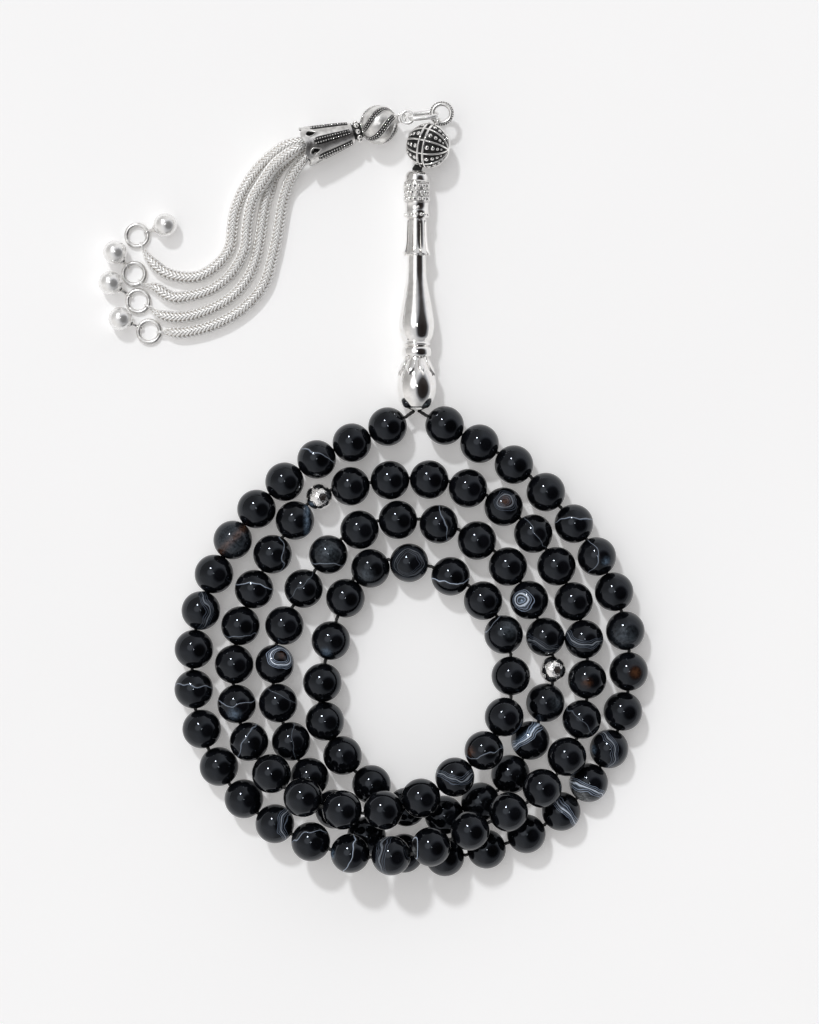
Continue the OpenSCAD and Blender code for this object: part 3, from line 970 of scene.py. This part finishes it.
def leaf():
    blade = sphere("leaf", 1, polished_silver, 16, 16)
    blade.scale = (0.92, 0.3, 2.15)
    settle(blade)
    edit(blade)
    for height, pinch in ((-1.0, 0.8), (-1.5, 0.6), (-1.85, 0.5)):
        pick(blade, lambda p: p.z < height * MM)
        bpy.ops.transform.resize(value=(pinch, 1, 1), center_override=(0, 0, 0))
    pick(blade, lambda p: abs(p.x) < 0.05 * MM and p.y < 0)
    bpy.ops.transform.translate(value=(0, -0.1 * MM, 0))
    pick(blade, lambda p: p.z > 1.2 * MM)
    bpy.ops.transform.resize(value=(0.8, 1, 1), center_override=(0, 0, 0))
    leave_edit()
    smooth_shaded(blade)
    return settle(blade, Matrix.Translation(Vector((0, -3.0, 8.75)) * MM) @ around(-24, "X"))


# %% Grains of silver
def grain_of(radius, finish, segments=10, rings=6):
    grain = sphere("grain", radius, finish, segments, rings)
    edit(grain)
    pick(grain, lambda p: p.z > 0.6 * radius * MM)
    bpy.ops.transform.resize(value=(0.85, 0.85, 1), center_override=(0, 0, 0))
    leave_edit()
    return smooth_shaded(grain)


def grain_row(name, count, radius, out, height, finish=polished_silver, start=0.0):
    """A ring of grains around the Z axis, their flatter ends outwards."""
    places = [around(360 * (k + start) / count) @ Matrix.Translation(Vector((out, 0, height)) * MM)
              @ around(90, "Y") for k in range(count)]
    return repeated(name, grain_of(radius, finish), places)


# %% Put the imame together
def whole_imame():
    parts = imame_body() + [skirt()]
    parts.append(repeated("leaves", leaf(), [around(360 * (k + 0.5) / LEAVES) for k in range(LEAVES)]))
    parts.append(grain_row("collar_grains", 16, 0.42, 2.2, 38.95))
    for row, height in enumerate((42.1, 43.4, 44.7)):
        parts.append(grain_row("grains", 14, 0.54, 2.16, height, start=row * 0.5))
        parts.append(grain_row("small_grains", 14, 0.24, 2.42, height + 0.62, start=0.5 + row * 0.5))
    recess = turned("grain_bed", [(2.31, 41.5), (2.36, 41.6), (2.36, 45.3), (2.31, 45.4)], worn_silver, 48)
    parts.append(recess)
    stud = grain_of(0.3, polished_silver)
    settle(stud, Matrix.Translation(Vector((0.25, -2.38, 40.4)) * MM))
    parts.append(stud)
    piece = joined("silver_imame", parts)
    return settle(piece, Matrix.Translation(imame_foot * MM) @ around(-90, "X"))


imame = whole_imame()
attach(imame, "imame")
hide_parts("imame")
print("imame faces:", len(imame.data.polygons))

# %% [markdown]
# ## The dotted ball
# The ball that covers the cord's knot is a dark sphere divided by raised wires: two rims
# around its middle, ribs that run to the poles, and rows of dots that shrink towards each
# pole. A great circle of wire makes two ribs, so five of them give all ten.

# %% Dotted ball
BALL_WAY = (heading(-14) * math.cos(math.radians(18)) + Vector((0, 0, math.sin(math.radians(18)))))
RIBS = 10
DOTS = ((17, 0.46), (33, 0.4), (47, 0.32), (59, 0.23))
RIM_ANGLE = 7
RIM_WIRE = 0.48
RIM_DEEP = 0.12
RIB_DEEP = 0.18
RIB_WIRE = 0.36
DOT_DEEP = 0.24


def on_ball(latitude, longitude, radius):
    return around(longitude) @ around(-latitude, "Y") @ Matrix.Translation((radius * MM, 0, 0))


def dotted_ball():
    ground = sphere("ball_ground", BALL_R - 0.2, black_silver, 64, 48)
    edit(ground)
    pick(ground, lambda p: abs(p.z) < 0.35 * MM)
    bpy.ops.transform.resize(value=(0.93, 0.93, 1), center_override=(0, 0, 0))
    leave_edit()
    smooth_shaded(ground)
    rib = wire_ring("rib", BALL_R - RIB_DEEP, RIB_WIRE, polished_silver, sides=72)
    settle(rib, around(90, "X"))
    parts = [ground, repeated("ribs", rib, [around(180 * k / (RIBS / 2)) for k in range(RIBS // 2)])]
    for half in (-1, 1):
        rim_r = (BALL_R - RIM_DEEP) * math.cos(math.radians(RIM_ANGLE))
        rim_up = half * (BALL_R - RIM_DEEP) * math.sin(math.radians(RIM_ANGLE))
        rim = wire_ring("rim", rim_r, RIM_WIRE, polished_silver, sides=72)
        settle(rim, Matrix.Translation((0, 0, rim_up * MM)))
        parts.append(rim)
        for latitude, size in DOTS:
            dot = grain_of(size, polished_silver, 12, 8)
            settle(dot, Matrix.Scale(0.6, 4, (0, 0, 1)))
            settle(dot, around(90, "Y"))
            turns = [360 * (k + 0.5) / RIBS for k in range(RIBS)]
            places = [on_ball(half * latitude, turn, BALL_R - DOT_DEEP) for turn in turns]
            parts.append(repeated("dots", dot, places))
    ball = joined("dotted_ball", parts)
    settle(ball, along(BALL_WAY, ball_at * MM) @ around(14))
    return ball


# %% Eye on top of the ball
RING_WAY = heading(67)
EYE_OUT = 5.05
EYE_R = 0.85
EYE_WIRE = 0.5


def ball_eye():
    eye_ring = wire_ring("ball_eye", EYE_R, EYE_WIRE, polished_silver, sides=32)
    settle(eye_ring, Matrix.Translation((ball_at + EYE_OUT * RING_WAY) * MM)
           @ around(67) @ around(90, "X"))
    base = turned("eye_base", [(0.9, 4.2), (0.8, 4.45), (0.5, 4.6), (0.3, 4.7)], polished_silver, 24)
    settle(base, along(RING_WAY, ball_at * MM))
    return [eye_ring, base]


ball = joined("silver_ball", [dotted_ball()] + ball_eye())
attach(ball, "knob_ball")
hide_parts("knob_ball")
print("ball faces:", len(ball.data.polygons))

# %% [markdown]
# ## Ring, oval link and jump ring
# The ball's ring is a smooth wire with a beaded one soldered round it. The oval link is a
# round ring pulled apart in the middle, as a jeweller does it: half of its points are moved
# one way and half the other.

# %% Beaded ring
BALL_RING_R = 1.95


def beaded_ring():
    inner = wire_ring("inner_wire", BALL_RING_R - 0.1, 0.8, worn_silver)
    outer = wire_ring("outer_wire", BALL_RING_R + 0.2, 0.5, black_silver)
    beads = grain_row("beading", 30, 0.19, BALL_RING_R + 0.34, 0.17, worn_silver)
    lower = grain_row("beading", 30, 0.19, BALL_RING_R + 0.34, -0.17, worn_silver, start=0.5)
    return joined("beaded_ring", [inner, outer, beads, lower])


ball_ring = settle(beaded_ring(), Matrix.Translation(middle("ball_ring")))
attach(ball_ring, "ball_ring")
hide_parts("ball_ring")

# %% Oval link and jump ring
LINK_WAY = 186
LINK_LEAN = 30
LINK_HALF_WIDE = 1.25
LINK_HALF_LONG = 2.7


def oval_link():
    link = wire_ring("oval_wire", LINK_HALF_WIDE, 0.95, bright_silver)
    edit(link)
    for side in (-1, 1):
        pick(link, lambda p: p.x * side > 0.01 * MM)
        bpy.ops.transform.translate(value=(side * (LINK_HALF_LONG - LINK_HALF_WIDE) * MM, 0, 0))
    leave_edit()
    return link


link = oval_link()
settle(link, Matrix.Translation(middle("oval_link")) @ around(LINK_WAY) @ around(90 - LINK_LEAN, "X"))
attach(link, "oval_link")
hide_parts("oval_link")
jump_ring = wire_ring("closed_jump_ring", 1.2, 0.7, bright_silver, slit=250)
settle(jump_ring, Matrix.Translation(middle("cap_jump_ring")))
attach(jump_ring, "cap_jump_ring")
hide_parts("cap_jump_ring")

# %% [markdown]
# ## The tassel's cap
# Four parts sit on one axis: a ball with six slanting bands of fine beading, a collar of
# grains, a bell with beaded strips and leaf-shaped windows, and a post inside that holds the
# chains. All are made upright at the origin and laid down together at the end.

# %% The cap's axis
CAP_TURN = 196.7
COLLAR_UP = 4.5
cap_at = middle("cap_collar") / MM - COLLAR_UP * heading(CAP_TURN)
cap_at.z = 4
cap_place = along(heading(CAP_TURN), cap_at * MM)
MELON_R = (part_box("cap_melon")[1].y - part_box("cap_melon")[0].y) / 2 / MM
print("cap at", [round(v, 3) for v in cap_at], "melon radius", round(MELON_R, 3))

# %% Banded ball
BANDS = 6
BAND_TWIST = -95
BAND_STEPS = 20
STRIP_DEEP = 1.7
EDGE_DEEP = 0.12
EDGE_TURN = 12
EDGE_WIRE_R = 0.11
BEADING_TURN = 4.6
BEADING_DEEP = 0.07
BAND_REACH = 66
POLE_CAP = [(0.2, 3.9), (0.8, 3.88), (1.3, 3.7), (1.55, 3.45), (1.5, 3.3)]
CAP_EYE_DOWN = 4.7


def on_melon(latitude, twist, radius):
    """A place on the ball whose X axis points out of it."""
    return (around(twist) @ around(-latitude, "Y") @ Matrix.Translation((radius * MM, 0, 0)))


def narrowing(latitude):
    """How much slimmer a band is away from the ball's middle."""
    return 0.55 + 0.45 * math.cos(math.radians(latitude))


def turned_across(across, latitude):
    """The turn around the axis that keeps a band's width true as its circle shrinks."""
    return across * narrowing(latitude) / max(math.cos(math.radians(latitude)), 0.3)


def banded_ball():
    parts = [smooth_shaded(sphere("melon", MELON_R - 0.16, worn_silver, 64, 48))]
    spots = []
    for k in range(BAND_STEPS):
        latitude = -BAND_REACH + 2 * BAND_REACH * k / (BAND_STEPS - 1)
        spots.append((latitude, BAND_TWIST * (k / (BAND_STEPS - 1) - 0.5)))
    strip = thick_curve("strip", STRIP_DEEP, 3)
    edges = thick_curve("edges", EDGE_WIRE_R, 1, capped=False)
    places = []
    for band in range(BANDS):
        start = 360 * band / BANDS
        lines = [(strip, 0, STRIP_DEEP), (edges, -EDGE_TURN, EDGE_DEEP), (edges, EDGE_TURN, EDGE_DEEP)]
        for curve, across, deep in lines:
            spline = curve.splines.new("POLY")
            spline.points.add(BAND_STEPS - 1)
            for point, (latitude, twist) in zip(spline.points, spots):
                point.radius = narrowing(latitude)
                radius = MELON_R - deep * point.radius
                turn = start + twist + turned_across(across, latitude)
                point.co = (*on_melon(latitude, turn, radius).translation, 1)
        for latitude, twist in spots:
            for across in (-BEADING_TURN, BEADING_TURN):
                turn = start + twist + turned_across(across, latitude)
                places.append(on_melon(latitude, turn, MELON_R - BEADING_DEEP) @ around(90, "Y")
                              @ Matrix.Scale(narrowing(latitude), 4))
    parts.append(mesh_from("strip", strip, black_silver))
    parts.append(mesh_from("edges", edges, worn_silver))
    parts.append(repeated("beading", grain_of(0.17, polished_silver, 7, 5), places))
    for end in (-1, 1):
        cap = turned("pole_cap", POLE_CAP, worn_silver, 40)
        if end < 0:
            settle(cap, around(180, "X"))
        parts.append(cap)
    return parts


def cap_eye():
    """The eye lies on the cap's axis, before the ball."""
    eye_ring = wire_ring("cap_eye", EYE_R, EYE_WIRE, polished_silver, sides=32)
    settle(eye_ring, Matrix.Translation((0, 0, -CAP_EYE_DOWN * MM)) @ around(90, "X"))
    return eye_ring


melon = joined("banded_ball", banded_ball() + [cap_eye()])
settle(melon, cap_place)
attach(melon, "cap")
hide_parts("cap_melon")
print("banded ball faces:", len(melon.data.polygons))

# %% Collar of grains
COLLAR_CORE = [(1.3, 3.5), (1.55, 3.8), (1.55, 5.2), (1.9, 5.3), (1.9, 5.45), (1.4, 5.5)]
collar_core = turned("collar_core", COLLAR_CORE, black_silver, 48)
collar = joined("grain_collar", [collar_core, grain_row("collar_grains", 9, 0.56, 1.78, 4.45)])
settle(collar, cap_place)
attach(collar, "cap")
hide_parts("cap_collar")

# %% [markdown]
# The bell is one turned wall. Its rim is drawn out into six soft lobes, a leaf-shaped window
# is cut through each lobe with a boolean, and a dark strip with two rows of beading is let in
# between the windows. The wall gets its thickness first, so that the cuts show its edge.

# %% Bell wall and its windows
BELL_START = 5.4
BELL_LONG = 10.2
BELL_TOP_R = 2.0
BELL_MOUTH_R = 4.0
BELL_WALL = 0.42
LOBES = 6
BELL_SIDES = 96


def bell_r(part):
    return BELL_TOP_R + (BELL_MOUTH_R - BELL_TOP_R) * part ** 0.8


def leaf_outline(width, height, steps=20):
    """A leaf standing along Z: round below, pointed above."""
    made = []
    for k in range(steps):
        turn = 2 * math.pi * k / steps
        across, lift = width * math.sin(turn), -math.cos(turn)
        if lift > 0:
            made.append((across * (1 - lift) ** 0.5, height * lift))
        else:
            made.append((across, height * (lift * 0.7)))
    return made


WINDOW_OUTLINE = leaf_outline(0.66, 1.25)
WINDOW_UP = BELL_START + BELL_LONG - 1.9


def window_cutter():
    bpy.ops.object.select_all(action="DESELECT")
    bpy.ops.mesh.primitive_circle_add(vertices=len(WINDOW_OUTLINE), radius=1 * MM, fill_type="NGON")
    cutter = added("cutter", black_silver)
    for point, (x, y) in zip(cutter.data.vertices, WINDOW_OUTLINE):
        point.co = (0, x * MM, -y * MM)
    edit(cutter)
    bpy.ops.mesh.select_all(action="SELECT")
    bpy.ops.mesh.extrude_region_move(TRANSFORM_OT_translate={"value": (3 * MM, 0, 0)})
    bpy.ops.mesh.select_all(action="SELECT")
    bpy.ops.mesh.normals_make_consistent(inside=False)
    leave_edit()
    return settle(cutter, Matrix.Translation((2.4 * MM, 0, WINDOW_UP * MM)))


def bell_wall():
    outline = [(0.4, BELL_START), (1.6, BELL_START)]
    outline += [(bell_r(k / 16), BELL_START + BELL_LONG * k / 16) for k in range(17)]
    wall = turned("bell_wall", outline, worn_silver, BELL_SIDES)
    edit(wall)
    per_lobe = BELL_SIDES // LOBES
    rim = (BELL_START + BELL_LONG - 0.05) * MM
    for column in range(per_lobe):
        drawn = -0.55 * (1 - math.cos(2 * math.pi * column / per_lobe)) / 2
        pick(wall, lambda p: p.z > rim - 1 * MM and
             round(math.degrees(math.atan2(p.y, p.x)) / 360 * BELL_SIDES) % per_lobe == column)
        bpy.ops.transform.translate(value=(0, 0, drawn * MM))
    leave_edit()
    wall.data.materials.append(black_silver)
    applied(wall, "SOLIDIFY", thickness=BELL_WALL * MM, offset=-1, material_offset=1)
    cutters = repeated("cutters", window_cutter(), [around(360 * k / LOBES) for k in range(LOBES)])
    applied(wall, "BOOLEAN", object=cutters, operation="DIFFERENCE", solver="EXACT")
    bpy.data.objects.remove(cutters)
    return smooth_shaded(wall, 40)


# %% Window rims and beaded strips
WINDOW_RIM_R = 0.14


def bell_place(part, turn, out=0.0):
    """A place on the bell's wall, X outwards and Z along the wall towards the mouth."""
    rise = bell_r(min(part + 0.05, 1)) - bell_r(max(part - 0.05, 0))
    slope = math.degrees(math.atan2(rise, BELL_LONG * 0.1))
    at = Vector((bell_r(part) + out, 0, BELL_START + BELL_LONG * part)) * MM
    return around(turn) @ Matrix.Translation(at) @ around(slope, "Y")


def window_rims():
    rim = thick_curve("window_rim", WINDOW_RIM_R, 2, capped=False)
    for k in range(LOBES):
        spline = rim.splines.new("POLY")
        spline.points.add(len(WINDOW_OUTLINE) - 1)
        spline.use_cyclic_u = True
        for point, (x, y) in zip(spline.points, leaf_outline(0.74, 1.36)):
            part = (WINDOW_UP - BELL_START - y) / BELL_LONG
            bend = math.degrees(x / bell_r(part))
            point.co = (*bell_place(part, 360 * k / LOBES + bend, -0.03).translation, 1)
    return mesh_from("window_rims", rim, worn_silver)


STRIP_FROM = 0.06
STRIP_TO = 0.78
STRIP_ROWS = 14


def beaded_strips():
    bpy.ops.object.select_all(action="DESELECT")
    bpy.ops.mesh.primitive_grid_add(x_subdivisions=6, y_subdivisions=STRIP_ROWS, size=2 * MM)
    strip = added("strip", black_silver)
    for point in strip.data.vertices:
        across, down = point.co.x / MM, (point.co.y / MM + 1) / 2
        part = STRIP_FROM + (STRIP_TO - STRIP_FROM) * down
        half = (0.56 + 0.3 * down) * min(1, 5 * (1 - down) + 0.5)
        place = bell_place(part, math.degrees(across * half / bell_r(part)), 0.05)
        point.co = place.translation
    applied(strip, "SOLIDIFY", thickness=0.12 * MM, offset=0)
    smooth_shaded(strip, 40)
    parts = [repeated("strips", strip, [around(360 * (k + 0.5) / LOBES) for k in range(LOBES)])]
    places = []
    for k in range(LOBES):
        for row in range(STRIP_ROWS):
            down = (row + 0.5) / STRIP_ROWS
            part = STRIP_FROM + (STRIP_TO - STRIP_FROM) * down
            size = 0.78 + 0.3 * down
            for across in (-0.27 - 0.1 * down, 0.27 + 0.1 * down):
                turn = 360 * (k + 0.5) / LOBES + math.degrees(across / bell_r(part))
                places.append(bell_place(part, turn, 0.1) @ around(90, "Y") @ Matrix.Scale(size, 4))
    parts.append(repeated("beading", grain_of(0.18, polished_silver, 7, 5), places))
    return parts


bell = joined("bell_cap", [bell_wall(), window_rims()] + beaded_strips())
settle(bell, cap_place)
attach(bell, "cap")
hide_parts("cap_bell")
print("bell faces:", len(bell.data.polygons))

# %% Post that holds the chains
hanger = turned("chain_post", [(0.3, 6.26), (0.34, 6.3), (0.34, 6.42), (1.2, 6.44), (1.38, 6.5), (1.38, 6.7),
                               (1.2, 6.78), (0.35, 6.8), (0.35, 13.0), (0.5, 13.2), (0.6, 13.6), (0.42, 14.0),
                               (0.1, 14.19)], worn_silver, 32)
settle(hanger, cap_place)
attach(hanger, "cap")
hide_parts("cap_hanger")

# %% [markdown]
# ## Table and light
# The table is plain and almost white, and it glows slightly so that its shadows stay pale.
# The main lamp stands to the upper left, fairly hard, and throws short shadows down and to
# the right. A weak second lamp overhead adds a small highlight. The room fills in the rest
# from all around, with a dark patch and a bright one that polished metal can show.

# %% Table
TABLE_HALF = 1.5
TABLE_GLOW = 0.21
bpy.ops.object.select_all(action="DESELECT")
bpy.ops.mesh.primitive_plane_add(size=2 * TABLE_HALF, location=(0, 0, -0.02 * MM))
table_finish, nodes, links, shader = finish_named("pale_table")
table_place = nodes.new("ShaderNodeTexCoord").outputs["Object"]
links.new(ramp(nodes, links, noise(nodes, links, table_place, 9), [(0.3, 0.90), (0.7, 0.92)]),
          shader.inputs["Base Color"])
shader.inputs["Roughness"].default_value = 0.7
shader.inputs["Specular IOR Level"].default_value = 0.2
shader.inputs["Emission Color"].default_value = (1.0, 0.975, 0.955, 1)
shader.inputs["Emission Strength"].default_value = TABLE_GLOW
table = added("table", table_finish)

# %% Lamps
LAMP_TRAVEL = Vector((0.36, -0.73, -0.98))
LAMP_STRENGTH = 1.1
LAMP_ANGLE = 5
SMALL_LAMP_STRENGTH = 0.1
SMALL_LAMP_ANGLE = 2.5

bpy.ops.object.select_all(action="DESELECT")
bpy.ops.object.light_add(type="SUN", rotation=LAMP_TRAVEL.to_track_quat("-Z", "Y").to_euler())
lamp = bpy.context.object
lamp.data.energy = LAMP_STRENGTH
lamp.data.angle = math.radians(LAMP_ANGLE)
lamp.data.color = (0.97, 0.985, 1.0)
bpy.ops.object.light_add(type="SUN", rotation=(math.radians(-3), math.radians(2), 0))
small_lamp = bpy.context.object
small_lamp.data.energy = SMALL_LAMP_STRENGTH
small_lamp.data.angle = math.radians(SMALL_LAMP_ANGLE)

# %% Room
DARK_WAY = Vector((0.62, -0.1, 0.78))
WINDOW_WAY = Vector((-0.33, 0.2, 0.92))
ROOM_STRENGTH = 0.82


def facing(nodes, links, sky_way, direction):
    """How squarely a way out into the room meets a direction, 1 where they agree."""
    dot = nodes.new("ShaderNodeVectorMath")
    dot.operation = "DOT_PRODUCT"
    dot.inputs[1].default_value = direction.normalized()
    links.new(sky_way, dot.inputs[0])
    return dot.outputs["Value"]


room = bpy.data.worlds.new("room")
bpy.context.scene.world = room
room.use_nodes = True
nodes, links = room.node_tree.nodes, room.node_tree.links
sky_way = nodes.new("ShaderNodeTexCoord").outputs["Generated"]
glow = ramp(nodes, links, facing(nodes, links, sky_way, DARK_WAY), [
    (0.0, (1.0, 0.98, 0.965)), (0.68, (0.98, 0.98, 1.0)), (0.78, (0.42, 0.43, 0.46)),
    (0.86, (0.06, 0.055, 0.055)), (1.0, (0.035, 0.028, 0.027))])
parts_of_way = nodes.new("ShaderNodeSeparateXYZ")
links.new(sky_way, parts_of_way.inputs[0])
crossing = calculated(nodes, links, "MULTIPLY", parts_of_way.outputs[0], parts_of_way.outputs[1])
raised = calculated(nodes, links, "ADD", crossing, 0.5)
clutter = ramp(nodes, links, raised, [(0.22, 0.5), (0.5, 0.7), (0.72, 1.0)])
window = ramp(nodes, links, facing(nodes, links, sky_way, WINDOW_WAY), [(0.935, 0.0), (0.975, 1.0)])
shaded = mixed(nodes, links, "MULTIPLY", 1, glow, clutter)
links.new(mixed(nodes, links, "ADD", 1, shaded, window), nodes["Background"].inputs["Color"])
nodes["Background"].inputs["Strength"].default_value = ROOM_STRENGTH
bpy.context.scene.view_settings.view_transform = "Standard"
